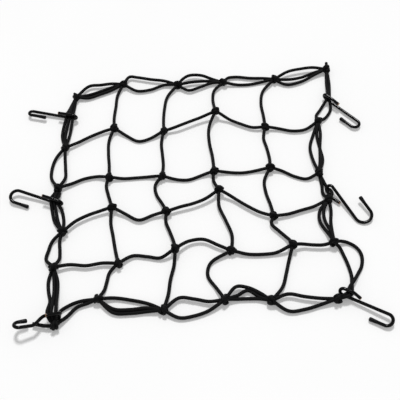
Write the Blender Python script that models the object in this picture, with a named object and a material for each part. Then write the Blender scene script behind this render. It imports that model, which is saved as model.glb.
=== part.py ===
"""Cargo net of knotted elastic cord, lying slack on a flat surface, with six wire hooks on its side borders.

The net is tied as the real one is: six cords across and six along, knotted where they meet, a single cord between the
inner knots and two or three cords side by side along the borders. Each hook is one bent wire in a thick coat, with a
dipped cap on its point, and its eye, a long loop whose short leg is cut off beside the shank, holds the border cords.
Run it with: blender --background --python part.py
"""

import math
from collections import namedtuple

import bmesh
import bpy
from mathutils import Vector

MM = 0.001

# Driving sizes, in millimetres. The tables give places on the floor, with +X to the right and +Y away. CENTRE is the
# middle of the whole thing in them, which becomes the origin.
CENTRE = (-11.8, 28.9)
GAP = 0.3  # between pieces that touch
SLIVER = 0.05  # shortest edge that the union leaves

CORD_R = 2.3  # to the corners of the six-sided cord, which is 4.0 across its flats
CORD_SIDES = 6
CORD_REST = CORD_R * math.cos(math.pi / CORD_SIDES)  # height of a cord's middle when a flat side lies on the floor
CORD_TURN = 28.0  # degrees of bend that one straight piece of cord stands for
CORD_REACH = 75.0  # length of straight cord that it stands for
CORD_PIECES = (4, 14)  # fewest and most straight pieces in a cord between two knots
LAID = 0.3  # a cord this near to the floor lies on it
FALL = 0.34  # share of its way in which a cord comes down from its knot

KNOT_SIDES = 8
KNOT_REST = 5.4  # height of a knot's middle when a flat side lies on the floor
KNOT_RIDGE = KNOT_REST / math.cos(math.pi / KNOT_SIDES)
# A knot's turned outline from one end to the other, as (way along, radius): two wraps with a groove between them.
KNOT_OUTLINE = ((-6.2, 3.3), (-2.9, KNOT_RIDGE), (0.0, 4.5), (2.9, KNOT_RIDGE), (6.2, 3.3))

WIRE_R = 2.0  # with its coat
WIRE_SIDES = 8
EYE_WIDTH = 9.6  # between the middles of the eye's two legs, where they run side by side
EYE_STRAIGHT = 18.5  # how far from the shank's end they do
EYE_TIP = 1.6  # from the shank's given end to the middle of the wire in the eye's round end
EYE_STEPS = 6  # straight pieces in the eye's round end
BOW = (19.0, 37.0)  # where a bowed shank steps aside, from its end at the eye
BOW_STEPS = 4
BEND_STEPS = 9  # odd, so that one flat lies square across the bend, where a load hangs
CAP_R = 2.8
CAP_LENGTH = 11.0
CAP_END = 1.0  # thickness of its closed end
THROUGH = 3.0  # how far a cord runs straight on each side of the eye it passes

# Knots: number (row from the back, column from the left), place, height above a knot that lies on the floor, and the
# turn of its wraps in degrees from +X.
Knot = namedtuple("Knot", "number x y lift turn")
KNOTS = (
    Knot(11, -188, 187, 0, 60),
    Knot(12, -118, 214, 0, 80),
    Knot(13, -34, 213, 0, 100),
    Knot(14, 36, 218, 0, 10),
    Knot(15, 115, 225, 0, 60),
    Knot(16, 198, 246, 1, 90),
    Knot(21, -194, 88, 0, 70),
    Knot(22, -126, 125, 0, 120),
    Knot(23, -53, 120, 0, 50),
    Knot(24, 23, 153, 6, 80),
    Knot(25, 96, 128, 0, 100),
    Knot(26, 175, 139, 0, 80),
    Knot(31, -196, 16, 0, 90),
    Knot(32, -127, 35, 0, 130),
    Knot(33, -53, 37, 0, 20),
    Knot(34, 20, 46, 0, 70),
    Knot(35, 99, 52, 0, 120),
    Knot(36, 167, 43, 0, 90),
    Knot(41, -182, -56, 1, 140),
    Knot(42, -119, -17, 2, 70),
    Knot(43, -45, -23, 1, 130),
    Knot(44, 26, 11, 4, 60),
    Knot(45, 99, -30, 0, 110),
    Knot(46, 175, -4, 2, 80),
    Knot(51, -187, -110, 2, 10),
    Knot(52, -105, -103, 0, 150),
    Knot(53, -32, -83, 4, 80),
    Knot(54, 41, -84, 0, 30),
    Knot(55, 121, -77, 4, 90),
    Knot(56, 175, -73, 3, 60),
    Knot(61, -176, -190, 1, 20),
    Knot(62, -127, -154, 0, 80),
    Knot(63, -45, -169, 0, 60),
    Knot(64, 31, -155, 1, 120),
    Knot(65, 89, -156, 0, 80),
    Knot(66, 171, -154, 1, 100),
)

# Cords from knot to knot: how far each swings to the side at a quarter, a half and three quarters of its way, and the
# height of its middle above a cord that lies on the floor, with the swing at a tenth where a cord leaves its knot
# sharply. A cord across swings towards +Y, and one along towards +X.
Span = namedtuple("Span", "start end quarter half last_quarter lift tenth", defaults=(None,))
ACROSS = (
    Span(21, 22, 1, 3, 3, 2),
    Span(22, 23, -11, -20, -13, 0),
    Span(23, 24, -2, -1, 0, 6),
    Span(24, 25, -3, -6, -7, 2),
    Span(25, 26, -5, -12, -12, 1),
    Span(31, 32, 4, 8, 7, 1),
    Span(32, 33, -1, 0, 1, 0),
    Span(33, 34, -6, -9, -4, 0),
    Span(34, 35, -2, -4, -2, 0),
    Span(35, 36, -2, -9, -11, 0),
    Span(41, 42, 7, 7, 4, 4),
    Span(42, 43, -8, -16, -7, 2),
    Span(43, 44, -2, -5, -5, 5),
    Span(44, 45, 0, -3, -4, 3),
    Span(45, 46, -3, -3, -3, 2),
    Span(51, 52, 3, 0, 2, 3),
    Span(52, 53, 7, 1, -6, 1),
    Span(53, 54, 13, 16, 8, 4),
    Span(54, 55, -6, -8, -7, 1),
    Span(55, 56, 1, -1, -2, 4),
)
ALONG = (
    Span(12, 22, -6, -5, -4, 0),
    Span(22, 32, -6, -5, -2, 0),
    Span(32, 42, -5, -4, -2, 1),
    Span(42, 52, -4, -3, -2, 0),
    Span(52, 62, -5, -2, 1, 0),
    Span(13, 23, -11, -10, -6, 0),
    Span(23, 33, -3, -1, 1, 0),
    Span(33, 43, -11, -11, -5, 1),
    Span(43, 53, -4, -2, 0, 2),
    Span(53, 63, 2, 1, 2, 1),
    Span(14, 24, -11, -10, -5, 1),
    Span(24, 34, -9, -8, -3, 2),
    Span(34, 44, -3, -4, -2, 3),
    Span(44, 54, -4, 1, 5, 2),
    Span(54, 64, -25, -26, -13, 0),
    Span(15, 25, -14, -13, -6, 0),
    Span(25, 35, -4, -1, 1, 0),
    Span(35, 45, -9, -8, -3, 0),
    Span(45, 55, -9, -5, 0, 2),
    Span(55, 65, 2, 5, 7, 1),
)
BACK_EDGE = (
    Span(11, 12, 16, 12, 8, 3),
    Span(11, 12, -2, -1, 1, 2),
    Span(11, 12, -7, -6, -4, 1),
    Span(12, 13, 15, 11, 8, 3, 16),
    Span(12, 13, -12, -9, 1, 1),
    Span(13, 14, 18, 17, 8, 4, 11),
    Span(13, 14, 4, 5, 4, 3),
    Span(13, 14, -12, -6, 1, 2, -6.5),
    Span(14, 15, 12, 8, 5, 1, 10.5),
    Span(14, 15, -4, -5, -2, 0),
    Span(15, 16, 9, 10, 8, 5),
    Span(15, 16, -6, -7, -2, 3),
    Span(15, 16, -15, -14, -6, 1, -7.5),
)
FRONT_EDGE = (
    Span(61, 62, 3, 8, 4, 1),
    Span(62, 63, 6, 7, 6, 1),
    Span(62, 63, -10, -7, -1, 3),
    Span(62, 63, -14, -11, -5, 1),
    Span(63, 64, 13, 8, 1, 3),
    Span(63, 64, -13, -14, -10, 1),
    Span(64, 65, 18, 17, 10, 4),
    Span(64, 65, 6, 14, 5, 2),
    Span(64, 65, 2, 3, 3, 1),
    Span(65, 66, 8, 4, 1, 4),
    Span(65, 66, -14, -12, -6, 1),
)
SIDE_EDGES = (
    Span(21, 31, -11, -14, -12, 0),
    Span(21, 31, 2, 5, 7, 1),
    Span(41, 51, -11, -13, -13, 0),
    Span(41, 51, -1, 2, 4, 1),
    Span(26, 36, -7, -12, -8, 1),
    Span(26, 36, -2, 2, 6, 0),
    Span(26, 36, 3, 2, 2, 3),
    Span(46, 56, -13, -14, -6, 1),
    Span(46, 56, -8, -8, -2, 4),
    Span(46, 56, 2, 0, 0, 2),
)

# A cord that runs under a hook, and the cut ends that stand out of two knots, by the places they pass.
Route = namedtuple("Route", "start end places")
LOOSE = (
    Route(61, 62, ((-173, -180, 2.2), (-172.5, -170, 2.0), (-163, -162.5, 3), (-149, -157, 4.5))),
    Route(61, None, ((-186, -190.5, 6), (-203, -187.5, 5.5))),
    Route(16, None, ((198.5, 252, 7.5), (199, 258, 8))),
)

# Hooks: the side of the shank that the J opens to (1 is left, seen from the eye), the place of the shank's end at the
# eye, its heading and rise in degrees, the roll of the J and of the eye about the shank, the J's width between its
# legs, the length of its point leg, the whole length, how far from the shank's end the short leg is cut, how far from
# the shank's middle it is there, and how far the shank steps to its left where it is bowed.
Hook = namedtuple("Hook", "name side x y z heading rise j_roll eye_roll mouth point length leg closed bow")
HOOKS = (
    Hook("hook_back_left", 1, -181.5, 144.5, 3.3, 168.2, 1.2, 12, -102, 9.2, 21.5, 76, 29, 9, 0),
    Hook("hook_mid_left", 1, -186, -11, 2.9, 161.4, 4.4, -10.5, -96, 18, 20, 76, 30, 9, 0),
    Hook("hook_front_left", -1, -170, -174.4, 7.2, 196, 13, 30, 66, 12.2, 9, 59, 20, 9.4, 10.6),
    Hook("hook_back_right", -1, 188, 190, 3.0, -47.5, 1.1, 1, 100, 14.5, 20, 77, 31, 8.4, 0),
    Hook("hook_mid_right", 1, 179.6, 21.8, 9.0, -61, -6, 9, 22, 23, 23, 76, 32, 4.9, 0),
    Hook("hook_front_right", -1, 172.6, -144.5, 4.0, -28.3, 3.5, 15, 66, 15, 18.5, 76, 29, 5.2, 0),
)

# Border cords that a hook's eye holds: the places they pass before the eye, how far along the eye they pass it, and
# the places after it.
Held = namedtuple("Held", "start end hook before along after")
HELD = (
    Held(11, 21, "hook_back_left", ((-189.5, 163, 2.5),), 7.2, ((-190.8, 113, 2.3),)),
    Held(11, 21, "hook_back_left", ((-193, 163, 4.8),), 11.9, ((-197, 113, 2.3),)),
    Held(11, 21, "hook_back_left", ((-196.5, 163, 2.5),), 16.6, ((-201.5, 113, 2.3),)),
    Held(31, 41, "hook_mid_left", ((-193.3, 7.4, 4),), 7.9, ((-187, -20, 4), (-182.5, -38, 2.5))),
    Held(31, 41, "hook_mid_left", ((-196.8, 7.4, 5),), 12.6, ((-195, -20, 4), (-190, -38, 2.5))),
    Held(31, 41, "hook_mid_left", ((-200.3, 7.4, 4),), 17.2, ((-200, -20, 4), (-194.5, -38, 2.5))),
    Held(51, 61, "hook_front_left", ((-180.8, -126, 3), (-178.6, -142, 4), (-177.4, -158, 8)), 7.2, ()),
    Held(51, 61, "hook_front_left", ((-184.8, -126, 4), (-182.6, -142, 5), (-181.4, -158, 9)), 12.4, ()),
    Held(51, 61, "hook_front_left", ((-191.8, -126, 2.3), (-190.1, -142, 2.3), (-185.4, -158, 7)), 16.6, ()),
    Held(16, 26, "hook_back_right", ((196, 220, 3),), 8, ((186.4, 173.2, 3), (180.1, 162.5, 2.2), (173.8, 151.8, 2.2))),
    Held(16, 26, "hook_back_right", ((200, 220, 3),), 13, ((196.5, 164.7, 3), (191.7, 154, 2.2), (185, 145.4, 3))),
    Held(56, 66, "hook_front_right", ((183, -70, 6), (193, -70, 3), (202, -75, 2), (208, -83, 2), (210, -93, 2),
                                      (207.5, -106, 2), (202, -116, 2.5), (195, -127.5, 5.6), (187, -139, 6.5)),
         10.6, ()),
    Held(56, 66, "hook_front_right", ((182, -78, 4), (187, -91, 2), (191, -106, 2), (193, -120, 2), (192.5, -127, 2),
                                      (191, -138, 5)), 15.4, ()),
)
# The middle right hook's eye lies nearly flat. One cord goes under its round end, up through it and over its short leg,
# by places as (way along the shank, way towards the short leg, height above the floor), and the other runs beside it.
Lengthwise = namedtuple("Lengthwise", "start end hook before places")
LENGTHWISE = (
    Lengthwise(36, 46, "hook_mid_right", ((172, 31.5, 2.1),),
               ((-6, 3.5, 2.0), (2, 4.2, 2.1), (9, 4.6, 5.8), (17, 9, 9.1))),
)
BESIDE = Lengthwise(36, 46, "hook_mid_right", ((168.5, 32.5, 2.1), (169.5, 22, 2.1), (169.5, 9, 2.1)), ())

BLACK = (0.012, 0.012, 0.013)


def clear_scene():
    """Remove whatever the file opened with."""
    for item in list(bpy.data.objects):
        bpy.data.objects.remove(item, do_unlink=True)


def material(name, colour, roughness, metallic=0.0):
    """A plain finish."""
    new = bpy.data.materials.new(name)
    new.use_nodes = True
    shader = new.node_tree.nodes["Principled BSDF"]
    shader.inputs["Base Color"].default_value = (*colour, 1)
    shader.inputs["Roughness"].default_value = roughness
    shader.inputs["Metallic"].default_value = metallic
    return new


def add_object(name, bm, finish):
    """Turn a bmesh in table millimetres into an object in metres about the origin."""
    bmesh.ops.recalc_face_normals(bm, faces=bm.faces)
    for vert in bm.verts:
        vert.co = (vert.co - Vector((*CENTRE, 0))) * MM
    mesh = bpy.data.meshes.new(name)
    bm.to_mesh(mesh)
    bm.free()
    mesh.materials.append(finish)
    mesh.shade_smooth()
    mesh.set_sharp_from_angle(angle=math.radians(50))
    item = bpy.data.objects.new(name, mesh)
    bpy.context.scene.collection.objects.link(item)
    return item


def curve_point(before, start, end, after, share):
    """A point of the centripetal Catmull-Rom curve between start and end."""
    times = [0.0]
    for one, two in ((before, start), (start, end), (end, after)):
        times.append(times[-1] + max((two - one).length, 0.01) ** 0.5)
    when = times[1] + share * (times[2] - times[1])

    def mix(one, two, low, high):
        return one + (two - one) * ((when - low) / (high - low))

    first = mix(before, start, times[0], times[1])
    middle = mix(start, end, times[1], times[2])
    last = mix(end, after, times[2], times[3])
    return mix(mix(first, middle, times[0], times[2]), mix(middle, last, times[1], times[3]), times[1], times[2])


def smooth_line(places, fine=12):
    """A smooth line of close points through the given places."""
    ends = [places[0] * 2 - places[1], *places, places[-1] * 2 - places[-2]]
    line = []
    for index in range(1, len(ends) - 2):
        for step in range(fine):
            line.append(curve_point(*ends[index - 1:index + 3], step / fine))
    return [*line, places[-1]]


def straight_pieces(line):
    """Thin a close line to points that share out its bends and its length."""
    loads = [0.0]
    for index in range(1, len(line)):
        turn = 0.0
        if index < len(line) - 1:
            turn = math.degrees((line[index] - line[index - 1]).angle(line[index + 1] - line[index], 0.0))
        loads.append(loads[-1] + turn / CORD_TURN + (line[index] - line[index - 1]).length / CORD_REACH)
    pieces = min(max(math.ceil(loads[-1]), CORD_PIECES[0]), CORD_PIECES[1])
    points, index = [line[0]], 0
    for piece in range(1, pieces):
        want = loads[-1] * piece / pieces
        while loads[index + 1] < want:
            index += 1
        share = (want - loads[index]) / max(loads[index + 1] - loads[index], 1e-9)
        points.append(line[index].lerp(line[index + 1], share))
    return [*points, line[-1]]


def frames(points, up, carry=False):
    """A place, two arms square to the way, and the bend's stretch, at each point. With carry, up follows the bends."""
    made = []
    for index, point in enumerate(points):
        ahead = (points[min(index + 1, len(points) - 1)] - point).normalized()
        behind = (point - points[max(index - 1, 0)]).normalized()
        along = (ahead + behind).normalized()
        across = along.cross(up).normalized()
        level = across.cross(along)
        if carry:
            up = level
        stretch, axis = 1.0, Vector()
        if ahead.length and behind.length and ahead.angle(behind) > 0.01:
            stretch, axis = 1 / math.cos(ahead.angle(behind) / 2), (behind - ahead).normalized()
        made.append((point, across, level, axis, stretch))
    return made


def ring(bm, frame, radius, sides, first_turn):
    """A ring of a tube at one frame, stretched where the tube bends."""
    point, across, level, axis, stretch = frame
    made = []
    for side in range(sides):
        turn = first_turn + math.tau * side / sides
        arm = (across * math.cos(turn) + level * math.sin(turn)) * radius
        arm += axis * arm.dot(axis) * (stretch - 1)
        made.append(bm.verts.new(point + arm))
    return made


def join_rings(bm, one, two):
    for side, vert in enumerate(one):
        after = (side + 1) % len(one)
        bm.faces.new((vert, one[after], two[after], two[side]))


def tube(bm, rings, closed=(True, True)):
    """Skin a row of rings, with an end face where closed says so."""
    for one, two in zip(rings, rings[1:]):
        join_rings(bm, one, two)
    if closed[0]:
        bm.faces.new(rings[0][::-1])
    if closed[1]:
        bm.faces.new(rings[-1])


def knot_middle(knot):
    return Vector((knot.x, knot.y, KNOT_REST + knot.lift))


def knot_lump(bm, knot):
    """A knot's two wraps, as a turned outline with a flat side down."""
    heading = Vector((math.cos(math.radians(knot.turn)), math.sin(math.radians(knot.turn)), 0))
    line = [knot_middle(knot) + heading * way for way, _ in KNOT_OUTLINE]
    places = frames(line, Vector((0, 0, 1)))
    tube(bm, [ring(bm, place, radius, KNOT_SIDES, math.pi / KNOT_SIDES)
              for place, (_, radius) in zip(places, KNOT_OUTLINE)])


def span_line(span, knots, sideways):
    """A span's line, down from its first knot, along and up to its last."""
    start, end = knot_middle(knots[span.start]), knot_middle(knots[span.end])
    places = [start]
    for share, swing in ((0.1, span.tenth), (0.25, span.quarter), (0.5, span.half), (0.75, span.last_quarter)):
        if swing is None:
            continue
        places.append(start.lerp(end, share) + sideways * swing)
    line = smooth_line([*places, end])
    for index, point in enumerate(line):
        share = index / (len(line) - 1)
        fallen = min(share / FALL, (1 - share) / FALL, 1)
        fallen = fallen * fallen * (3 - 2 * fallen)
        point.z = (start.z if share < 0.5 else end.z) * (1 - fallen) + (CORD_REST + span.lift) * fallen
    return line


def hook_start(hook):
    return Vector((hook.x, hook.y, hook.z))


def hook_axes(hook, roll):
    """The shank's way, the way towards the mouth in a plane with that roll, and the plane's normal."""
    heading, rise, turn = (math.radians(angle) for angle in (hook.heading, hook.rise, roll))
    shank = Vector((math.cos(heading) * math.cos(rise), math.sin(heading) * math.cos(rise), math.sin(rise)))
    left = Vector((-math.sin(heading), math.cos(heading), 0))
    mouth = (left * math.cos(turn) + shank.cross(left) * math.sin(turn)) * hook.side
    return shank, mouth, shank.cross(mouth)


def held_line(held, knots, hooks):
    """A cord that passes midway between an eye's two legs, straight for a short way before and after."""
    hook = hooks[held.hook]
    start, end = knot_middle(knots[held.start]), knot_middle(knots[held.end])
    shank, mouth, _ = hook_axes(hook, hook.eye_roll)
    middle = hook_start(hook) + shank * held.along - mouth * (EYE_WIDTH / 2)
    before = [start, *(Vector(place) for place in held.before)]
    after = [*(Vector(place) for place in held.after), end]
    way = (middle - before[-1]).normalized() + (after[0] - middle).normalized()
    way = (way - mouth * way.dot(mouth)).normalized()
    return smooth_line([*before, middle - way * THROUGH, middle + way * THROUGH, *after])


def route_line(route, knots):
    places = [knot_middle(knots[route.start]), *(Vector(place) for place in route.places)]
    return smooth_line([*places, knot_middle(knots[route.end])] if route.end else places)


def lengthwise_line(held, knots, hooks):
    hook = hooks[held.hook]
    shank, mouth, _ = hook_axes(hook, hook.eye_roll)
    places = [Vector(place) for place in held.before]
    for along, aside, height in held.places:
        place = hook_start(hook) + shank * along - mouth * aside
        place.z = height
        places.append(place)
    return smooth_line([knot_middle(knots[held.start]), *places, knot_middle(knots[held.end])])


def net_lines(knots, hooks):
    """The middle lines of every cord in the net."""
    across, along = Vector((0, 1, 0)), Vector((1, 0, 0))
    lines = [span_line(span, knots, across) for span in (*ACROSS, *BACK_EDGE, *FRONT_EDGE)]
    lines += [span_line(span, knots, along) for span in (*ALONG, *SIDE_EDGES)]
    lines += [route_line(route, knots) for route in LOOSE]
    lines += [held_line(held, knots, hooks) for held in HELD]
    lines += [lengthwise_line(held, knots, hooks) for held in (*LENGTHWISE, BESIDE)]
    return lines


def make_net(knots, hooks, finish):
    """The whole net: cords fused at their knots by one union."""
    cords, lumps = bmesh.new(), bmesh.new()
    for line in net_lines(knots, hooks):
        points = straight_pieces(line)
        for point in points:
            if point.z < CORD_REST + LAID:
                point.z = CORD_REST
        tube(cords, [ring(cords, place, CORD_R, CORD_SIDES, 0) for place in frames(points, Vector((0, 0, 1)))])
    for knot in KNOTS:
        knot_lump(lumps, knot)
    cutter = add_object("cords_guide", cords, finish)
    cutter.hide_render = True
    cutter.display_type = "WIRE"
    net = add_object("net", lumps, finish)
    union = net.modifiers.new("Knot the cords together", "BOOLEAN")
    union.operation = "UNION"
    union.solver = "EXACT"
    union.use_self = True
    union.object = cutter
    weld = net.modifiers.new("Close the slivers", "WELD")
    weld.merge_threshold = SLIVER * MM


def shank_point(hook, along):
    """A point of the shank's middle line, which steps aside past the eye where the hook is bowed."""
    heading = math.radians(hook.heading)
    left = Vector((-math.sin(heading), math.cos(heading), 0))
    share = min(max((along - BOW[0]) / (BOW[1] - BOW[0]), 0.0), 1.0)
    aside = hook.bow * share * share * (3 - 2 * share)
    return hook_start(hook) + hook_axes(hook, hook.j_roll)[0] * along + left * aside


def hook_line(hook):
    """The wire's middle line from its point round the J, up the shank and round the eye, and the J's normal."""
    shank, mouth, normal = hook_axes(hook, hook.j_roll)
    eye_mouth = hook_axes(hook, hook.eye_roll)[1]
    start = hook_start(hook)
    bend_r, eye_r = hook.mouth / 2, EYE_WIDTH / 2
    bend_at = hook.length - WIRE_R - bend_r
    bend = shank_point(hook, bend_at)
    points = [bend - shank * hook.point + mouth * hook.mouth]
    for step in range(BEND_STEPS + 1):
        turn = math.pi * step / BEND_STEPS
        points.append(bend + shank * bend_r * math.sin(turn) + mouth * bend_r * (1 + math.cos(turn)))
    if hook.bow:
        points += [shank_point(hook, BOW[1] + (BOW[0] - BOW[1]) * step / BOW_STEPS) for step in range(BOW_STEPS + 1)]
    for step in range(EYE_STEPS + 1):
        turn = math.pi * step / EYE_STEPS
        points.append(start + shank * (EYE_TIP + eye_r * (1 - math.sin(turn))) - eye_mouth * eye_r * (1 - math.cos(turn)))
    points += [start + shank * EYE_STRAIGHT - eye_mouth * EYE_WIDTH, start + shank * hook.leg - eye_mouth * hook.closed]
    return points, normal


def dipped_cap(name, mouth, end, finish):
    """A cap round the wire, open at its mouth and closed past the wire's end."""
    half = math.pi / WIRE_SIDES
    bm = bmesh.new()
    inner = [ring(bm, place, WIRE_R + GAP / math.cos(half), WIRE_SIDES, half) for place in (mouth, end)]
    closed = (end[0] + (end[0] - mouth[0]).normalized() * CAP_END, *end[1:])
    outer = [ring(bm, place, CAP_R, WIRE_SIDES, half) for place in (mouth, closed)]
    tube(bm, outer, (False, True))
    tube(bm, inner, (False, True))
    join_rings(bm, outer[0], inner[0])
    return add_object(name, bm, finish)


def make_hook(hook, wire_finish, rubber_finish):
    """One hook: its bent wire and the dipped cap on its point."""
    half = math.pi / WIRE_SIDES
    points, normal = hook_line(hook)
    places = frames(points, normal, carry=True)
    wire = bmesh.new()
    tube(wire, [ring(wire, place, WIRE_R, WIRE_SIDES, half) for place in places])
    add_object(hook.name, wire, wire_finish)
    point, across, level, axis, stretch = places[0]
    way = (points[0] - points[1]).normalized()
    dipped_cap(hook.name.replace("hook", "cap"), (point - way * (CAP_LENGTH - GAP - CAP_END), across, level, axis, 1.0),
               (point + way * GAP, across, level, axis, 1.0), rubber_finish)


def build():
    clear_scene()
    knots = {knot.number: knot for knot in KNOTS}
    hooks = {hook.name: hook for hook in HOOKS}
    cord = material("black elastic cord", BLACK, 0.6)
    wire = material("black dipped wire", BLACK, 0.25)
    rubber = material("black dipped cap", BLACK, 0.35)
    make_net(knots, hooks, cord)
    for hook in HOOKS:
        make_hook(hook, wire, rubber)


build()
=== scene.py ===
"""The looks of a knotted elastic cargo net with six wire hooks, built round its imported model.

Sizes are in millimetres as they are written, with +X to the right and +Y away, and CENTRE is the place on
the floor that becomes the origin. The tables give the same places as those of the part's own source. Each
cord is laid again here round and close to its real line, each knot is wound from cord, and each hook is one
smooth coated wire with its dipped cap.
"""

import math
import random
from collections import namedtuple

import bmesh
import bpy
from mathutils import Matrix, Vector


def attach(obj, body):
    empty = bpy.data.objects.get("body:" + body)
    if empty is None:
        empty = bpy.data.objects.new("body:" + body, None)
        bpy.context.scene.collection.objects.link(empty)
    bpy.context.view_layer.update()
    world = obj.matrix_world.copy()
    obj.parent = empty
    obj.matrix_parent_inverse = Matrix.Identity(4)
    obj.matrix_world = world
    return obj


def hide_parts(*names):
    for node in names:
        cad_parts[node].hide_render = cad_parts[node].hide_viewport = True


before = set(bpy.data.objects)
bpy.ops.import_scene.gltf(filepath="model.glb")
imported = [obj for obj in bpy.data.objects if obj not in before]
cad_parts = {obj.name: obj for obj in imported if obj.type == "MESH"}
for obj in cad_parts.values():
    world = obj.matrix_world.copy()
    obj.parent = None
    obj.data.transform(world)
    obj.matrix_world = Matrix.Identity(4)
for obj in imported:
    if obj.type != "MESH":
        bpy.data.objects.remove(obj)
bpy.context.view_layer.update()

random.seed(11)

MM = 0.001
CENTRE = (-11.8, 28.9)
INTO_PLACE = Matrix.Scale(MM, 4) @ Matrix.Translation((-CENTRE[0], -CENTRE[1], 0))
MERGE = 0.0005  # points nearer to each other than this become one
SHARP = 50.0  # degrees between two faces from which their edge is shown sharp

# Camera and lights. The camera looks at the tables' zero from the front. Angles are in degrees.
VIEW_FROM = 962.0
VIEW_RISE = 55.0
VIEW_LENS = 63.0  # focal length
VIEW_SENSOR = 36.0  # width of the film behind it
VIEW_NEAR = 0.01  # metres
SUN_RISE = 60.0  # from straight behind
SUN_STRENGTH = 1.95
SUN_WIDTH = 11.0
FILL_STRENGTH = 0.4
FLOOR_GLOW = 0.22  # how much of the floor's brightness comes through it from below, as on a lit table
FLOOR_SIZE = 16.0  # metres

LINE_STEPS = 12  # points that a smooth line has from each place to the next
LEAST = 0.01  # distance that two places of a line are taken to be apart at least
CORD_R = 2.35
CORD_STEP = 2.0  # between the rings of a laid cord
CORD_SIDES = 14
FALL = 0.34  # share of its way in which a cord comes down from its knot
THROUGH = 3.0  # how far a cord runs straight on each side of the eye it passes

# A knot is a cord wound round the knot's own middle line, with its ends tucked in, and a strand that crosses
# over the wraps from one end of the knot to the other.
KNOT_REST = 5.4  # height of a knot's middle when it lies on the floor
KNOT_STEP = 0.9  # between the rings of its cords
WRAP_R = 3.4  # from the knot's middle line to the middle of the wound cord
WRAP_TURNS = 2.3
WRAP_TURNS_VARY = 0.15
WRAP_PITCH = 3.9
WRAP_POINTS = 120
TUCK = 0.09  # share of the winding in which each end comes up from inside
TUCK_DEPTH = 0.35  # share of WRAP_R at which it starts
CROSS_R = 5.7  # from the knot's middle line to the crossing strand where it is highest
CROSS_LOW = 0.75  # share of WRAP_R to which it goes down at its ends
CROSS_REACH = 78.0  # degrees that it goes down on each side
CROSS_LEAN = 0.35  # radians that its top may be off the knot's top
CROSS_ALONG = 1.15  # share of WRAP_PITCH that it reaches along the knot each way
CROSS_CROWN = 0.7  # the lower, the flatter its top
CROSS_THIN = 0.92  # pulled thinner than a slack cord
CROSS_POINTS = 40

# A cord's cut end: rubber strands round a middle one, and the sheath's loose fibres round them.
STRANDS = 6  # round the middle one
STRAND_R = 0.42
STRAND_SIDES = 6
STRAND_RING = 0.85  # from the cord's middle line to a strand's
STRAND_OUT = (0.35, 0.8)  # how far a strand stands out, from and to
FIBRES = 26
FIBRE_R = 0.09
FIBRE_SIDES = 4
FIBRE_WIDTHS = (1, 0.8, 0.4)  # shares of its width at its root, halfway and at its end
FIBRE_RING = 1.8  # from the cord's middle line to where a fibre starts
FIBRE_BACK = 0.4  # how far back inside the sheath a fibre starts
FIBRE_LENGTH = (0.7, 1.7)
FIBRE_FLARE = (0.1, 0.9)  # how far its end stands out to the side, from and to
FIBRE_CURL = 0.3  # share of its flare that it has halfway
FIBRE_VARY = 0.1  # radians round the cord

WIRE_R = 2.2  # with its coat
WIRE_SIDES = 16
WIRE_STEP = 1.0
WIRE_ENDS = (0.7, 0.86)  # shares of its width that are left at its point and at its cut end
EYE_WIDTH = 9.6  # between the middles of the eye's two legs, where they run side by side
EYE_STRAIGHT = 18.5  # how far from the shank's end they do
EYE_TIP = 1.6  # from the shank's given end to the middle of the wire in the eye's round end
EYE_STEPS = 24
BOW = (19.0, 37.0)  # where a bowed shank steps aside, from its end at the eye
BOW_STEPS = 18
BEND_STEPS = 36
BARE_END = 1.1  # length of the short leg's cut end that the coat has come off
# The dipped cap's turned outline, as (way past the wire's point, radius).
CAP_OUTLINE = ((-8.4, 0.0), (-8.4, 1.8), (-9.5, 1.95), (-9.9, 2.1), (-9.5, 2.28), (-7.5, 2.38), (-5.0, 2.52),
               (-2.6, 2.68), (-0.8, 2.74), (0.3, 2.6), (0.95, 2.1), (1.3, 1.3), (1.45, 0.5), (1.5, 0.0))
CAP_SIDES = 28

# Knots: number (row from the back, column from the left), place, height above a knot that lies on the floor,
# and the turn of its wraps in degrees from +X.
Knot = namedtuple("Knot", "number x y lift turn")
KNOTS = (
    Knot(11, -188, 187, 0, 60),
    Knot(12, -118, 214, 0, 80),
    Knot(13, -34, 213, 0, 100),
    Knot(14, 36, 218, 0, 10),
    Knot(15, 115, 225, 0, 60),
    Knot(16, 198, 246, 1, 90),
    Knot(21, -194, 88, 0, 70),
    Knot(22, -126, 125, 0, 120),
    Knot(23, -53, 120, 0, 50),
    Knot(24, 23, 153, 6, 80),
    Knot(25, 96, 128, 0, 100),
    Knot(26, 175, 139, 0, 80),
    Knot(31, -196, 16, 0, 90),
    Knot(32, -127, 35, 0, 130),
    Knot(33, -53, 37, 0, 20),
    Knot(34, 20, 46, 0, 70),
    Knot(35, 99, 52, 0, 120),
    Knot(36, 167, 43, 0, 90),
    Knot(41, -182, -56, 1, 140),
    Knot(42, -119, -17, 2, 70),
    Knot(43, -45, -23, 1, 130),
    Knot(44, 26, 11, 4, 60),
    Knot(45, 99, -30, 0, 110),
    Knot(46, 175, -4, 2, 80),
    Knot(51, -187, -110, 2, 10),
    Knot(52, -105, -103, 0, 150),
    Knot(53, -32, -83, 4, 80),
    Knot(54, 41, -84, 0, 30),
    Knot(55, 121, -77, 4, 90),
    Knot(56, 175, -73, 3, 60),
    Knot(61, -176, -190, 1, 20),
    Knot(62, -127, -154, 0, 80),
    Knot(63, -45, -169, 0, 60),
    Knot(64, 31, -155, 1, 120),
    Knot(65, 89, -156, 0, 80),
    Knot(66, 171, -154, 1, 100),
)

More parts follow.
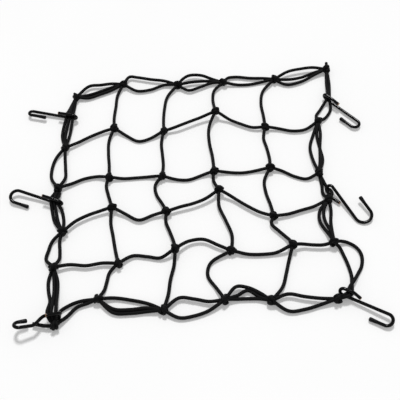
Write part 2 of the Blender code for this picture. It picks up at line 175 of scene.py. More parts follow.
# Cords from knot to knot: how far each swings to the side at a quarter, a half and three quarters of its way,
# and the height of its middle above a cord that lies on the floor, with the swing at a tenth where a cord
# leaves its knot sharply. A cord across swings towards +Y, and one along towards +X.
Span = namedtuple("Span", "start end quarter half last_quarter lift tenth", defaults=(None,))
ACROSS = (
    Span(21, 22, 1, 3, 3, 2),
    Span(22, 23, -11, -20, -13, 0),
    Span(23, 24, -2, -1, 0, 6),
    Span(24, 25, -3, -6, -7, 2),
    Span(25, 26, -5, -12, -12, 1),
    Span(31, 32, 4, 8, 7, 1),
    Span(32, 33, -1, 0, 1, 0),
    Span(33, 34, -6, -9, -4, 0),
    Span(34, 35, -2, -4, -2, 0),
    Span(35, 36, -2, -9, -11, 0),
    Span(41, 42, 7, 7, 4, 4),
    Span(42, 43, -8, -16, -7, 2),
    Span(43, 44, -2, -5, -5, 5),
    Span(44, 45, 0, -3, -4, 3),
    Span(45, 46, -3, -3, -3, 2),
    Span(51, 52, 3, 0, 2, 3),
    Span(52, 53, 7, 1, -6, 1),
    Span(53, 54, 13, 16, 8, 4),
    Span(54, 55, -6, -8, -7, 1),
    Span(55, 56, 1, -1, -2, 4),
)
ALONG = (
    Span(12, 22, -6, -5, -4, 0),
    Span(22, 32, -6, -5, -2, 0),
    Span(32, 42, -5, -4, -2, 1),
    Span(42, 52, -4, -3, -2, 0),
    Span(52, 62, -5, -2, 1, 0),
    Span(13, 23, -11, -10, -6, 0),
    Span(23, 33, -3, -1, 1, 0),
    Span(33, 43, -11, -11, -5, 1),
    Span(43, 53, -4, -2, 0, 2),
    Span(53, 63, 2, 1, 2, 1),
    Span(14, 24, -11, -10, -5, 1),
    Span(24, 34, -9, -8, -3, 2),
    Span(34, 44, -3, -4, -2, 3),
    Span(44, 54, -4, 1, 5, 2),
    Span(54, 64, -25, -26, -13, 0),
    Span(15, 25, -14, -13, -6, 0),
    Span(25, 35, -4, -1, 1, 0),
    Span(35, 45, -9, -8, -3, 0),
    Span(45, 55, -9, -5, 0, 2),
    Span(55, 65, 2, 5, 7, 1),
)
BACK_EDGE = (
    Span(11, 12, 16, 12, 8, 3),
    Span(11, 12, -2, -1, 1, 2),
    Span(11, 12, -7, -6, -4, 1),
    Span(12, 13, 15, 11, 8, 3, 16),
    Span(12, 13, -12, -9, 1, 1),
    Span(13, 14, 18, 17, 8, 4, 11),
    Span(13, 14, 4, 5, 4, 3),
    Span(13, 14, -12, -6, 1, 2, -6.5),
    Span(14, 15, 12, 8, 5, 1, 10.5),
    Span(14, 15, -4, -5, -2, 0),
    Span(15, 16, 9, 10, 8, 5),
    Span(15, 16, -6, -7, -2, 3),
    Span(15, 16, -15, -14, -6, 1, -7.5),
)
FRONT_EDGE = (
    Span(61, 62, 3, 8, 4, 1),
    Span(62, 63, 6, 7, 6, 1),
    Span(62, 63, -10, -7, -1, 3),
    Span(62, 63, -14, -11, -5, 1),
    Span(63, 64, 13, 8, 1, 3),
    Span(63, 64, -13, -14, -10, 1),
    Span(64, 65, 18, 17, 10, 4),
    Span(64, 65, 6, 14, 5, 2),
    Span(64, 65, 2, 3, 3, 1),
    Span(65, 66, 8, 4, 1, 4),
    Span(65, 66, -14, -12, -6, 1),
)
SIDE_EDGES = (
    Span(21, 31, -11, -14, -12, 0),
    Span(21, 31, 2, 5, 7, 1),
    Span(41, 51, -11, -13, -13, 0),
    Span(41, 51, -1, 2, 4, 1),
    Span(26, 36, -7, -12, -8, 1),
    Span(26, 36, -2, 2, 6, 0),
    Span(26, 36, 3, 2, 2, 3),
    Span(46, 56, -13, -14, -6, 1),
    Span(46, 56, -8, -8, -2, 4),
    Span(46, 56, 2, 0, 0, 2),
)

# A cord that runs under a hook, and the cut ends that stand out of two knots, by the places they pass.
Route = namedtuple("Route", "start end places")
LOOSE = (
    Route(61, 62, ((-173, -180, 2.2), (-172.5, -170, 2.0), (-163, -162.5, 3), (-149, -157, 4.5))),
    Route(61, None, ((-186, -190.5, 6), (-203, -187.5, 5.5))),
    Route(16, None, ((198.5, 252, 7.5), (199, 258, 8))),
)

# Hooks: the side of the shank that the J opens to (1 is left, seen from the eye), the place of the shank's
# end at the eye, its heading and rise in degrees, the roll of the J and of the eye about the shank, the J's
# width between its legs, the length of its point leg, the whole length, how far from the shank's end the
# short leg is cut, how far from the shank's middle it is there, and how far the shank steps to its left where
# it is bowed.
Hook = namedtuple("Hook", "name side x y z heading rise j_roll eye_roll mouth point length leg closed bow")
HOOKS = (
    Hook("hook_back_left", 1, -181.5, 144.5, 3.3, 168.2, 1.2, 12, -102, 9.2, 21.5, 76, 29, 9, 0),
    Hook("hook_mid_left", 1, -186, -11, 2.9, 161.4, 4.4, -10.5, -96, 18, 20, 76, 30, 9, 0),
    Hook("hook_front_left", -1, -170, -174.4, 7.2, 196, 13, 30, 66, 12.2, 9, 59, 20, 9.4, 10.6),
    Hook("hook_back_right", -1, 188, 190, 3.0, -47.5, 1.1, 1, 100, 14.5, 20, 77, 31, 8.4, 0),
    Hook("hook_mid_right", 1, 179.6, 21.8, 9.0, -61, -6, 9, 22, 23, 23, 76, 32, 4.9, 0),
    Hook("hook_front_right", -1, 172.6, -144.5, 4.0, -28.3, 3.5, 15, 66, 15, 18.5, 76, 29, 5.2, 0),
)

# Border cords that a hook's eye holds: the places they pass before the eye, how far along the eye they pass
# it, and the places after it.
Held = namedtuple("Held", "start end hook before along after")
HELD = (
    Held(11, 21, "hook_back_left", ((-189.5, 163, 2.5),), 7.2, ((-190.8, 113, 2.3),)),
    Held(11, 21, "hook_back_left", ((-193, 163, 4.8),), 11.9, ((-197, 113, 2.3),)),
    Held(11, 21, "hook_back_left", ((-196.5, 163, 2.5),), 16.6, ((-201.5, 113, 2.3),)),
    Held(31, 41, "hook_mid_left", ((-193.3, 7.4, 4),), 7.9, ((-187, -20, 4), (-182.5, -38, 2.5))),
    Held(31, 41, "hook_mid_left", ((-196.8, 7.4, 5),), 12.6, ((-195, -20, 4), (-190, -38, 2.5))),
    Held(31, 41, "hook_mid_left", ((-200.3, 7.4, 4),), 17.2, ((-200, -20, 4), (-194.5, -38, 2.5))),
    Held(51, 61, "hook_front_left", ((-180.8, -126, 3), (-178.6, -142, 4), (-177.4, -158, 8)), 7.2, ()),
    Held(51, 61, "hook_front_left", ((-184.8, -126, 4), (-182.6, -142, 5), (-181.4, -158, 9)), 12.4, ()),
    Held(51, 61, "hook_front_left", ((-191.8, -126, 2.3), (-190.1, -142, 2.3), (-185.4, -158, 7)), 16.6, ()),
    Held(16, 26, "hook_back_right", ((196, 220, 3),), 8,
         ((186.4, 173.2, 3), (180.1, 162.5, 2.2), (173.8, 151.8, 2.2))),
    Held(16, 26, "hook_back_right", ((200, 220, 3),), 13,
         ((196.5, 164.7, 3), (191.7, 154, 2.2), (185, 145.4, 3))),
    Held(56, 66, "hook_front_right",
         ((183, -70, 6), (193, -70, 3), (202, -75, 2), (208, -83, 2), (210, -93, 2), (207.5, -106, 2),
          (202, -116, 2.5), (195, -127.5, 5.6), (187, -139, 6.5)), 10.6, ()),
    Held(56, 66, "hook_front_right",
         ((182, -78, 4), (187, -91, 2), (191, -106, 2), (193, -120, 2), (192.5, -127, 2), (191, -138, 5)),
         15.4, ()),
)
# The middle right hook's eye lies nearly flat. One cord goes under its round end, up through it and over its
# short leg, by places as (way along the shank, way towards the short leg, height above the floor), and the
# other runs beside it.
Lengthwise = namedtuple("Lengthwise", "start end hook before places")
LENGTHWISE = (
    Lengthwise(36, 46, "hook_mid_right", ((172, 31.5, 2.1),),
               ((-6, 3.5, 2.0), (2, 4.2, 2.1), (9, 4.6, 5.8), (17, 9, 9.1))),
    Lengthwise(36, 46, "hook_mid_right", ((168.5, 32.5, 2.1), (169.5, 22, 2.1), (169.5, 9, 2.1)), ()),
)

# The plait of the cords' sheath, and the ranges of noise that show as patches of rub and as specks of dust.
PLAIT_STRANDS = 8.0  # round the cord
PLAIT_PITCH = 2.2  # along it, from one strand to the next
PLAIT_BULGE = 0.45  # share of its height that a strand gains in the middle of where it lies on top
PLAIT_CROWN = 0.6  # the lower, the flatter a strand is across
PATCHES = (0.42, 0.72)
SPECKS = (0.58, 0.74)
DUST_BETWEEN = 0.2  # share of the dust that lies outside the patches
LINT_SHARE = 0.5  # how far the cord's dust hides it

# Painted shade: the cord's valley colour darkens the hollows between the plait's strands, and its ridge
# colour is their lit tops.
CORD_SHADED_VALLEY = (0.0015, 0.0015, 0.0018)
CORD_LIT_RIDGE = (0.004, 0.004, 0.0045)
LINT = (0.05, 0.05, 0.055)
COAT_BLACK = (0.0005, 0.0005, 0.0008)
COAT_WORN = (0.012, 0.012, 0.014)
DIP_BLACK = (0.002, 0.002, 0.003)
STEEL_BROWN = (0.26, 0.15, 0.09)
STEEL_PALE = (0.5, 0.4, 0.32)
RUBBER_DARK = (0.02, 0.019, 0.018)
RUBBER_DUSTY = (0.11, 0.1, 0.09)
FLOOR_LOW = (0.80, 0.80, 0.80)
FLOOR_HIGH = (0.83, 0.83, 0.83)
FILL_COLOUR = (1.0, 1.0, 1.0)


def curve_point(before, start, end, after, share):
    """A point of the centripetal Catmull-Rom curve between start and end."""
    times = [0.0]
    for one, two in ((before, start), (start, end), (end, after)):
        times.append(times[-1] + max((two - one).length, LEAST) ** 0.5)
    when = times[1] + share * (times[2] - times[1])

    def mix(one, two, low, high):
        return one + (two - one) * ((when - low) / (high - low))

    first = mix(before, start, times[0], times[1])
    middle = mix(start, end, times[1], times[2])
    last = mix(end, after, times[2], times[3])
    first_half = mix(first, middle, times[0], times[2])
    last_half = mix(middle, last, times[1], times[3])
    return mix(first_half, last_half, times[1], times[2])


def ease(share):
    """A share from 0 to 1 that starts and ends gently."""
    return share * share * (3 - 2 * share)


def smooth_line(places):
    """A smooth line of close points through the given places."""
    ends = [places[0] * 2 - places[1], *places, places[-1] * 2 - places[-2]]
    line = []
    for index in range(1, len(ends) - 2):
        for step in range(LINE_STEPS):
            line.append(curve_point(*ends[index - 1:index + 3], step / LINE_STEPS))
    return [*line, places[-1]]


def evenly(line, step):
    """The same line with its points about a step apart."""
    ways = [0.0]
    for one, two in zip(line, line[1:]):
        ways.append(ways[-1] + (two - one).length)
    steps = max(round(ways[-1] / step), 2)
    points, index = [], 0
    for number in range(steps + 1):
        want = ways[-1] * number / steps
        while index < len(line) - 2 and ways[index + 1] < want:
            index += 1
        share = (want - ways[index]) / max(ways[index + 1] - ways[index], 1e-9)
        points.append(line[index].lerp(line[index + 1], min(share, 1)))
    return points


def knot_middle(knot):
    return Vector((knot.x, knot.y, KNOT_REST + knot.lift))


def span_line(span, knots, sideways):
    """A span's line, down from its first knot, along and up to its last."""
    start, end = knot_middle(knots[span.start]), knot_middle(knots[span.end])
    swings = [(0.25, span.quarter), (0.5, span.half), (0.75, span.last_quarter)]
    if span.tenth is not None:
        swings.insert(0, (0.1, span.tenth))
    places = [start.lerp(end, share) + sideways * swing for share, swing in swings]
    line = smooth_line([start, *places, end])
    for index, point in enumerate(line):
        share = index / (len(line) - 1)
        fallen = ease(min(share / FALL, (1 - share) / FALL, 1))
        point.z = (start.z if share < 0.5 else end.z) * (1 - fallen) + (CORD_R + span.lift) * fallen
    return line


def hook_start(hook):
    return Vector((hook.x, hook.y, hook.z))


def hook_axes(hook, roll):
    """The shank's way, and the way towards the mouth in a plane with that roll."""
    heading, rise, turn = (math.radians(angle) for angle in (hook.heading, hook.rise, roll))
    shank = Vector((math.cos(heading) * math.cos(rise), math.sin(heading) * math.cos(rise), math.sin(rise)))
    left = Vector((-math.sin(heading), math.cos(heading), 0))
    mouth = (left * math.cos(turn) + shank.cross(left) * math.sin(turn)) * hook.side
    return shank, mouth


def held_line(held, knots, hooks):
    """A cord that passes midway between an eye's two legs, straight for a short way before and after."""
    hook = hooks[held.hook]
    start, end = knot_middle(knots[held.start]), knot_middle(knots[held.end])
    shank, mouth = hook_axes(hook, hook.eye_roll)
    middle = hook_start(hook) + shank * held.along - mouth * (EYE_WIDTH / 2)
    before = [start, *(Vector(place) for place in held.before)]
    after = [*(Vector(place) for place in held.after), end]
    way = (middle - before[-1]).normalized() + (after[0] - middle).normalized()
    way = (way - mouth * way.dot(mouth)).normalized()
    return smooth_line([*before, middle - way * THROUGH, middle + way * THROUGH, *after])


def route_line(route, knots):
    """A cord by the places it passes, from its knot to another one or to its cut end."""
    places = [knot_middle(knots[route.start]), *(Vector(place) for place in route.places)]
    return smooth_line([*places, knot_middle(knots[route.end])] if route.end else places)


def lengthwise_line(held, knots, hooks):
    """A cord that runs along an eye instead of across it."""
    hook = hooks[held.hook]
    shank, mouth = hook_axes(hook, hook.eye_roll)
    places = [Vector(place) for place in held.before]
    for along, aside, height in held.places:
        place = hook_start(hook) + shank * along - mouth * aside
        place.z = height
        places.append(place)
    return smooth_line([knot_middle(knots[held.start]), *places, knot_middle(knots[held.end])])


def shank_point(hook, along):
    """A point of the shank's middle line, which steps aside past the eye where the hook is bowed."""
    heading = math.radians(hook.heading)
    left = Vector((-math.sin(heading), math.cos(heading), 0))
    share = min(max((along - BOW[0]) / (BOW[1] - BOW[0]), 0.0), 1.0)
    shank, _ = hook_axes(hook, hook.j_roll)
    return hook_start(hook) + shank * along + left * hook.bow * ease(share)


def hook_line(hook):
    """The wire's middle line, from its point round the J, up the shank and round the eye to its cut end."""
    shank, mouth = hook_axes(hook, hook.j_roll)
    _, leg_side = hook_axes(hook, hook.eye_roll)
    start = hook_start(hook)
    bend_r, eye_r = hook.mouth / 2, EYE_WIDTH / 2
    bend = shank_point(hook, hook.length - WIRE_R - bend_r)
    points = [bend - shank * hook.point + mouth * hook.mouth]
    for step in range(BEND_STEPS + 1):
        turn = math.pi * step / BEND_STEPS
        points.append(bend + shank * bend_r * math.sin(turn) + mouth * bend_r * (1 + math.cos(turn)))
    if hook.bow:
        for step in range(BOW_STEPS + 1):
            points.append(shank_point(hook, BOW[1] + (BOW[0] - BOW[1]) * step / BOW_STEPS))
    for step in range(EYE_STEPS + 1):
        turn = math.pi * step / EYE_STEPS
        along, aside = EYE_TIP + eye_r * (1 - math.sin(turn)), eye_r * (1 - math.cos(turn))
        points.append(start + shank * along - leg_side * aside)
    points.append(start + shank * EYE_STRAIGHT - leg_side * EYE_WIDTH)
    points.append(start + shank * hook.leg - leg_side * hook.closed)
    return points


def piece(name, bm, finishes, slot, *stands_for):
    """Turn a bmesh in millimetres into a finished piece of the object that moves with its body."""
    bmesh.ops.remove_doubles(bm, verts=bm.verts, dist=MERGE)
    bmesh.ops.transform(bm, matrix=INTO_PLACE, verts=bm.verts)
    mesh = bpy.data.meshes.new(name)
    bm.to_mesh(mesh)
    bm.free()
    for finish in finishes:
        mesh.materials.append(finish)
    mesh.shade_smooth()
    mesh.set_sharp_from_angle(angle=math.radians(SHARP))
    item = bpy.data.objects.new(name, mesh)
    bpy.context.scene.collection.objects.link(item)
    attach(item, "root")
    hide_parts(*stands_for)


def lay(bm, points, radius, sides, widths=None, finish=0):
    """Add a round cord or wire along close points. Its U is millimetres along it, and its V its way round."""
    path = bpy.data.curves.new("path", "CURVE")
    path.dimensions = "3D"
    path.bevel_depth = radius
    path.bevel_resolution = sides // 2 - 2
    path.use_fill_caps = True
    spline = path.splines.new("POLY")
    spline.points.add(len(points) - 1)
    for number, point in enumerate(points):
        spline.points[number].co = (*point, 1)
        spline.points[number].radius = widths[number] if widths else 1.0
    holder = bpy.data.objects.new("path", path)
    mesh = bpy.data.meshes.new_from_object(holder)
    length = sum((two - one).length for one, two in zip(points, points[1:]))
    for corner in mesh.uv_layers[0].uv:
        corner.vector = (corner.vector.x * length, corner.vector.y)
    before = len(bm.faces)
    bm.from_mesh(mesh)
    bm.faces.ensure_lookup_table()
    for face in bm.faces[before:]:
        face.material_index = finish
    bpy.data.objects.remove(holder)
    bpy.data.curves.remove(path)
    bpy.data.meshes.remove(mesh)


def lay_cords(name, lines, finish):
    """Every cord of one part of the net, in one piece, lying on the floor where it comes down to it."""
    bm = bmesh.new()
    for line in lines:
        points = evenly(line, CORD_STEP)
        for point in points:
            point.z = max(point.z, CORD_R)
        lay(bm, points, CORD_R, CORD_SIDES)
    piece(name, bm, [finish], "cord", "net")


def knot_point(knot, along, turn, radius):
    """A place round a knot's middle line: turn is in radians from its top."""
    heading = math.radians(knot.turn)
    ahead = Vector((math.cos(heading), math.sin(heading), 0))
    aside = Vector((-math.sin(heading), math.cos(heading), 0))
    return (knot_middle(knot) + ahead * along + aside * radius * math.sin(turn)
            + Vector((0, 0, radius * math.cos(turn))))


def wind_knot(bm, knot):
    """The cord wound round a knot, tucked in at both ends, and the strand that crosses over the wraps."""
    hand = 1 if knot.number % 2 else -1
    first = random.uniform(0, math.tau)
    turns = WRAP_TURNS + random.uniform(-WRAP_TURNS_VARY, WRAP_TURNS_VARY)
    lean = random.uniform(-CROSS_LEAN, CROSS_LEAN)
    wraps = []
    for step in range(WRAP_POINTS + 1):
        share = step / WRAP_POINTS
        out = ease(min(share / TUCK, (1 - share) / TUCK, 1))
        radius = WRAP_R * (TUCK_DEPTH + (1 - TUCK_DEPTH) * out)
        along = WRAP_PITCH * turns * (share - 0.5)
        wraps.append(knot_point(knot, along, first + hand * math.tau * turns * share, radius))
    lay(bm, evenly(wraps, KNOT_STEP), CORD_R, CORD_SIDES)
    crossing = []
    low = WRAP_R * CROSS_LOW
    for step in range(CROSS_POINTS + 1):
        side = 2 * step / CROSS_POINTS - 1
        radius = low + (CROSS_R - low) * math.cos(side * math.pi / 2) ** CROSS_CROWN
        along = hand * WRAP_PITCH * CROSS_ALONG * side
        crossing.append(knot_point(knot, along, math.radians(CROSS_REACH) * side + lean, radius))
    lay(bm, evenly(crossing, KNOT_STEP), CORD_R * CROSS_THIN, CORD_SIDES)


def wind_knots(name, finish):
    """All the knots of the net, in one piece."""
    bm = bmesh.new()
    for knot in KNOTS:
        wind_knot(bm, knot)
    piece(name, bm, [finish], "cord", "net")


def fray(bm, tip, way):
    """One cut end: its rubber strands, and the sheath's loose fibres round them."""
    facing = way.to_track_quat("Z", "Y")

    def outward(turn):
        return facing @ Vector((math.cos(turn), math.sin(turn), 0))

    roots = [tip + outward(math.tau * strand / STRANDS) * STRAND_RING for strand in range(STRANDS)]
    for root in (*roots, tip):
        cut = root + way * random.uniform(*STRAND_OUT)
        lay(bm, [root - way, root, cut], STRAND_R, STRAND_SIDES, finish=1)
    for fibre in range(FIBRES):
        out = outward(math.tau * fibre / FIBRES + random.uniform(-FIBRE_VARY, FIBRE_VARY))
        flare = out * random.uniform(*FIBRE_FLARE)
        length = way * random.uniform(*FIBRE_LENGTH)
        root = tip + out * FIBRE_RING - way * FIBRE_BACK
        places = [root, root + length / 2 + flare * FIBRE_CURL, root + length + flare]
        lay(bm, places, FIBRE_R, FIBRE_SIDES, FIBRE_WIDTHS)


def cut_ends(name, knots, finishes):
    """The cut ends of the cords that stand out of a knot, in one piece."""
    bm = bmesh.new()
    for route in LOOSE:
        if not route.end:
            line = route_line(route, knots)
            fray(bm, line[-1], (line[-1] - line[-2]).normalized())
    piece(name, bm, finishes, "cord", "net")


def bend_wire(name, hook, finishes):
    """One hook's wire from its point to the cut of its short leg, with the coat gone at the cut."""
    points = evenly(hook_line(hook), WIRE_STEP)
    widths = [1.0] * len(points)
    widths[0], widths[-1] = WIRE_ENDS
    bm = bmesh.new()
    lay(bm, points, WIRE_R, WIRE_SIDES, widths)
    cut, way = points[-1], (points[-1] - points[-2]).normalized()
    for face in bm.faces:
        offset = face.calc_center_median() - cut
        if offset.length < BARE_END + WIRE_R / 2 and offset.dot(way) > -BARE_END:
            face.material_index = 1
    piece(name, bm, finishes, "wire", hook.name)


def dip_cap(name, hook, finish):
    """The soft cap that the wire's point is dipped in, turned round the wire."""
    bm = bmesh.new()
    outline = [bm.verts.new((radius, 0, way)) for way, radius in CAP_OUTLINE]
    edges = [bm.edges.new(pair) for pair in zip(outline, outline[1:])]
    bmesh.ops.spin(bm, geom=[*outline, *edges], cent=(0, 0, 0), axis=(0, 0, 1), angle=math.tau,
                   steps=CAP_SIDES, use_merge=True)
    bmesh.ops.remove_doubles(bm, verts=bm.verts, dist=MERGE)
    bmesh.ops.recalc_face_normals(bm, faces=bm.faces)
    point, behind = hook_line(hook)[:2]
    facing = (point - behind).normalized().to_track_quat("Z", "Y").to_matrix().to_4x4()
    bmesh.ops.transform(bm, matrix=Matrix.Translation(point) @ facing, verts=bm.verts)
    piece(name, bm, [finish], "cap", hook.name.replace("hook", "cap"))


def shader_group(name, ins, outs):
    """An empty node group with these inputs and outputs, and its ends. An input of None is a vector."""
    tree = bpy.data.node_groups.new(name, "ShaderNodeTree")
    for label, value in ins:
        kind = "NodeSocketVector" if value is None else "NodeSocketFloat"
        socket = tree.interface.new_socket(label, in_out="INPUT", socket_type=kind)
        if value is not None:
            socket.default_value = value
    for label in outs:
        tree.interface.new_socket(label, in_out="OUTPUT", socket_type="NodeSocketFloat")
    return tree, tree.nodes.new("NodeGroupInput").outputs, tree.nodes.new("NodeGroupOutput").inputs


def join(tree, value, socket):
    """Link a socket, or set a plain value."""
    if isinstance(value, bpy.types.NodeSocket):
        tree.links.new(value, socket)
    else:
        socket.default_value = value


def maths(tree, operation, *values, clamp=False):
    node = tree.nodes.new("ShaderNodeMath")
    node.operation = operation
    node.use_clamp = clamp
    for value, socket in zip(values, node.inputs):
        join(tree, value, socket)
    return node.outputs[0]


def noise(tree, place, scale, detail=3.0, roughness=0.55):
    node = tree.nodes.new("ShaderNodeTexNoise")
    for label, value in (("Vector", place), ("Scale", scale), ("Detail", detail), ("Roughness", roughness)):
        join(tree, value, node.inputs[label])
    return node.outputs["Fac"]


def blend_colours(tree, share, low, high):
    """One colour or the other, or a colour between, by a share from 0 to 1."""
    node = tree.nodes.new("ShaderNodeMix")
    node.data_type = "RGBA"
    for label, value in (("Factor_Float", share), ("A_Color", low), ("B_Color", high)):
        socket = next(item for item in node.inputs if item.identifier == label)
        join(tree, value if isinstance(value, (bpy.types.NodeSocket, float)) else (*value, 1), socket)
    return next(item for item in node.outputs if item.identifier == "Result_Color")


def spread(tree, value, low=0.0, high=1.0, to_low=0.0, to_high=1.0):
    """Stretch a value's range from low to high, clamped, onto another."""
    node = tree.nodes.new("ShaderNodeMapRange")
    for label, number in (("Value", value), ("From Min", low), ("From Max", high), ("To Min", to_low),
                          ("To Max", to_high)):
        join(tree, number, node.inputs[label])
    return node.outputs["Result"]


def bump(tree, height, depth, strength=1.0):
    """A normal from a height from 0 to 1, depth metres deep."""
    node = tree.nodes.new("ShaderNodeBump")
    join(tree, height, node.inputs["Height"])
    node.inputs["Distance"].default_value = depth
    node.inputs["Strength"].default_value = strength
    return node.outputs["Normal"]


def use_group(tree, group, **values):
    """A shader group placed in a material, with its inputs by name."""
    node = tree.nodes.new("ShaderNodeGroup")
    node.node_tree = group
    for label, value in values.items():
        join(tree, value, node.inputs[label.replace("_", " ")])
    return node.outputs


def woven_sheath_group():
    """Strands plaited over and under each other, by millimetres along a cord and its way round."""
    numbers = [("Along", 0.0), ("Round", 0.0), ("Strands", 8.0), ("Pitch", 2.0)]
    tree, ins, outs = shader_group("Woven sheath", numbers, ["Height"])
    along = maths(tree, "DIVIDE", ins["Along"], ins["Pitch"])
    turn = maths(tree, "MULTIPLY", ins["Round"], ins["Strands"])
    right, left = maths(tree, "ADD", along, turn), maths(tree, "SUBTRACT", along, turn)
    arcs = []
    for way in (right, left):
        arcs.append(maths(tree, "SINE", maths(tree, "MULTIPLY", maths(tree, "FRACT", way), math.pi)))
    cells = maths(tree, "ADD", maths(tree, "FLOOR", right), maths(tree, "FLOOR", left))
    top = maths(tree, "MULTIPLY", maths(tree, "FRACT", maths(tree, "MULTIPLY", cells, 0.5)), 2.0)
    heights = []
    for across, down in (arcs, arcs[::-1]):
        bulge = maths(tree, "MULTIPLY_ADD", down, PLAIT_BULGE, 1 - PLAIT_BULGE)
        heights.append(maths(tree, "MULTIPLY", maths(tree, "POWER", across, PLAIT_CROWN), bulge))
    under = maths(tree, "MULTIPLY", heights[1], maths(tree, "SUBTRACT", 1.0, top))
    join(tree, maths(tree, "MULTIPLY_ADD", heights[0], top, under), outs["Height"])
    return tree


def dust_group():
    """Soft patches with sharper specks in them, for lint, dust and handling marks."""
    numbers = [("Place", None), ("Patch Scale", 60.0), ("Speck Scale", 900.0), ("Amount", 0.5)]
    tree, ins, outs = shader_group("Dust and rub", numbers, ["Dust", "Rub"])
    patches = spread(tree, noise(tree, ins["Place"], ins["Patch Scale"]), *PATCHES)
    specks = spread(tree, noise(tree, ins["Place"], ins["Speck Scale"], detail=2.0), *SPECKS)
    thickness = maths(tree, "MULTIPLY_ADD", patches, 1 - DUST_BETWEEN, DUST_BETWEEN)
    dust = maths(tree, "MULTIPLY", specks, thickness)
    join(tree, maths(tree, "MULTIPLY", dust, ins["Amount"], clamp=True), outs["Dust"])
    join(tree, maths(tree, "MULTIPLY", patches, ins["Amount"], clamp=True), outs["Rub"])
    return tree


def begin_finish(name, **plain):
    """A new material, its shader with plain values set on it, and the piece's own place for patterns."""
    new = bpy.data.materials.new(name)
    new.use_nodes = True
    tree = new.node_tree
    shader = tree.nodes["Principled BSDF"]
    for label, value in plain.items():
        shader.inputs[label.replace("_", " ")].default_value = value
    place = tree.nodes.new("ShaderNodeTexCoord")
    return new, tree, shader.inputs, place.outputs


def cord_finish(weave, dust):
    """Black plaited polyester sheath: each strand rounds up, dull in its valleys, with painted shade
    darkening those valleys and the strands' tops painted lighter, and a little lint.
    """
    new, tree, shader, place = begin_finish("black woven sheath", Sheen_Weight=0.006, Sheen_Roughness=0.45,
                                            Specular_IOR_Level=0.12)
    split = tree.nodes.new("ShaderNodeSeparateXYZ")
    join(tree, place["UV"], split.inputs[0])
    plait = use_group(tree, weave, Along=split.outputs["X"], Round=split.outputs["Y"], Strands=PLAIT_STRANDS,
                      Pitch=PLAIT_PITCH)
    marks = use_group(tree, dust, Place=place["Object"], Patch_Scale=45.0, Speck_Scale=1500.0, Amount=0.5)
    # painted shade: darker in the plait's valleys, lighter on the strands' tops, by the plait's height
    strand = blend_colours(tree, plait["Height"], CORD_SHADED_VALLEY, CORD_LIT_RIDGE)
    lint = maths(tree, "MULTIPLY", marks["Dust"], LINT_SHARE)
    join(tree, blend_colours(tree, lint, strand, LINT), shader["Base Color"])
    join(tree, spread(tree, plait["Height"], to_low=0.8, to_high=0.52), shader["Roughness"])
    join(tree, bump(tree, plait["Height"], depth=0.00022, strength=0.8), shader["Normal"])
    return new


def wire_finish(dust):
    """Glossy black coat on steel wire, a little uneven, with faint rub marks."""
    new, tree, shader, place = begin_finish("glossy black coat", Coat_Weight=0.35, Coat_Roughness=0.05,
                                            Specular_IOR_Level=0.02)
    marks = use_group(tree, dust, Place=place["Object"], Patch_Scale=120.0, Speck_Scale=2200.0, Amount=0.6)
    join(tree, blend_colours(tree, marks["Dust"], COAT_BLACK, COAT_WORN), shader["Base Color"])
    join(tree, spread(tree, marks["Rub"], high=0.6, to_low=0.16, to_high=0.34), shader["Roughness"])
    uneven = noise(tree, place["Object"], scale=420.0, detail=2.0)
    join(tree, bump(tree, uneven, depth=0.00012, strength=0.5), shader["Normal"])
    return new


def cap_finish(dust):
    """Soft black dip: half dull, with slow runs in its surface and more dust than the hard coat."""
    new, tree, shader, place = begin_finish("soft black dip", Specular_IOR_Level=0.15)
    marks = use_group(tree, dust, Place=place["Object"], Patch_Scale=90.0, Speck_Scale=1600.0, Amount=0.8)
    join(tree, blend_colours(tree, marks["Dust"], DIP_BLACK, LINT), shader["Base Color"])
    join(tree, spread(tree, marks["Rub"], high=0.8, to_low=0.3, to_high=0.5), shader["Roughness"])
    runs = noise(tree, place["Object"], scale=230.0, detail=1.0)
    join(tree, bump(tree, runs, depth=0.0003, strength=0.5), shader["Normal"])
    return new


def bare_finish(dust):
    """Cut steel, browned."""
    new, tree, shader, place = begin_finish("browned cut steel", Metallic=1.0)
    marks = use_group(tree, dust, Place=place["Object"], Patch_Scale=700.0, Speck_Scale=2500.0, Amount=1.0)
    join(tree, blend_colours(tree, marks["Rub"], STEEL_BROWN, STEEL_PALE), shader["Base Color"])
    join(tree, spread(tree, marks["Dust"], to_low=0.35, to_high=0.6), shader["Roughness"])
    grain = noise(tree, place["Object"], scale=2500.0, detail=2.0)
    join(tree, bump(tree, grain, depth=0.00005, strength=0.7), shader["Normal"])
    return new


def rubber_finish(dust):
    """The dark rubber strands inside the cord, where it is cut."""
    new, tree, shader, place = begin_finish("rubber strands", Specular_IOR_Level=0.4)
    marks = use_group(tree, dust, Place=place["Object"], Patch_Scale=500.0, Speck_Scale=2200.0, Amount=0.9)
    join(tree, blend_colours(tree, marks["Rub"], RUBBER_DARK, RUBBER_DUSTY), shader["Base Color"])
    join(tree, spread(tree, marks["Dust"], to_low=0.55, to_high=0.75), shader["Roughness"])
    grain = noise(tree, place["Object"], scale=1800.0, detail=2.0)
    join(tree, bump(tree, grain, depth=0.00008, strength=0.6), shader["Normal"])
    return new


def floor_finish():
    """A pale floor that glows faintly, with hardly any unevenness in its tone."""
    new, tree, shader, place = begin_finish("pale floor", Specular_IOR_Level=0.05, Roughness=0.9,
                                            Emission_Color=(1, 1, 1, 1), Emission_Strength=FLOOR_GLOW)
    tint = noise(tree, place["Object"], scale=3.0, detail=2.0)
    join(tree, blend_colours(tree, tint, FLOOR_LOW, FLOOR_HIGH), shader["Base Color"])
    return new


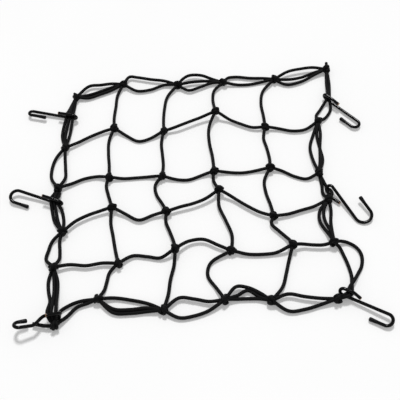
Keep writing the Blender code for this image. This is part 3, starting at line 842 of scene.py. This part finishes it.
def set_camera():
    """The camera, which looks at the tables' zero from the front and above, with no roll."""
    rise = math.radians(VIEW_RISE)
    place = Vector((0, -math.cos(rise), math.sin(rise))) * VIEW_FROM
    lens = bpy.data.cameras.new("camera")
    lens.lens = VIEW_LENS
    lens.sensor_width = VIEW_SENSOR
    lens.clip_start = VIEW_NEAR
    camera = bpy.data.objects.new("camera", lens)
    camera.location = INTO_PLACE @ place
    camera.rotation_euler = (math.radians(90 - VIEW_RISE), 0, 0)
    bpy.context.scene.collection.objects.link(camera)
    bpy.context.scene.camera = camera


def set_lights():
    """A window-like sun from straight behind, and an even fill from all round."""
    sun = bpy.data.lights.new("sun", "SUN")
    sun.energy = SUN_STRENGTH
    sun.angle = math.radians(SUN_WIDTH)
    lamp = bpy.data.objects.new("sun", sun)
    lamp.rotation_euler = (math.radians(SUN_RISE - 90), 0, 0)
    bpy.context.scene.collection.objects.link(lamp)
    world = bpy.data.worlds.new("fill")
    world.use_nodes = True
    background = world.node_tree.nodes["Background"]
    background.inputs["Color"].default_value = (*FILL_COLOUR, 1)
    background.inputs["Strength"].default_value = FILL_STRENGTH
    bpy.context.scene.world = world
    bpy.context.scene.view_settings.view_transform = "Standard"


def set_floor():
    """A plain square floor under the net."""
    bm = bmesh.new()
    bmesh.ops.create_grid(bm, x_segments=1, y_segments=1, size=FLOOR_SIZE / 2)
    mesh = bpy.data.meshes.new("floor")
    bm.to_mesh(mesh)
    bm.free()
    mesh.materials.append(floor_finish())
    floor = bpy.data.objects.new("floor", mesh)
    bpy.context.scene.collection.objects.link(floor)


def build():
    """Every piece, with the camera first and the floor and lights last."""
    set_camera()
    knots = {knot.number: knot for knot in KNOTS}
    hooks = {hook.name: hook for hook in HOOKS}
    away, right = Vector((0, 1, 0)), Vector((1, 0, 0))
    weave, dust = woven_sheath_group(), dust_group()
    sheath, coat, dip = cord_finish(weave, dust), wire_finish(dust), cap_finish(dust)
    steel, rubber = bare_finish(dust), rubber_finish(dust)
    inner = [span_line(span, knots, away) for span in ACROSS]
    inner += [span_line(span, knots, right) for span in ALONG]
    border = [span_line(span, knots, away) for span in (*BACK_EDGE, *FRONT_EDGE)]
    border += [span_line(span, knots, right) for span in SIDE_EDGES]
    border += [route_line(route, knots) for route in LOOSE]
    border += [held_line(held, knots, hooks) for held in HELD]
    border += [lengthwise_line(held, knots, hooks) for held in LENGTHWISE]
    lay_cords("inner_cords", inner, sheath)
    lay_cords("border_cords", border, sheath)
    wind_knots("knots", sheath)
    cut_ends("cut_ends", knots, [sheath, rubber])
    for hook in HOOKS:
        place = hook.name.removeprefix("hook_")
        bend_wire("bent_wire_" + place, hook, [coat, steel])
        dip_cap("dipped_cap_" + place, hook, dip)
    set_floor()
    set_lights()


build()
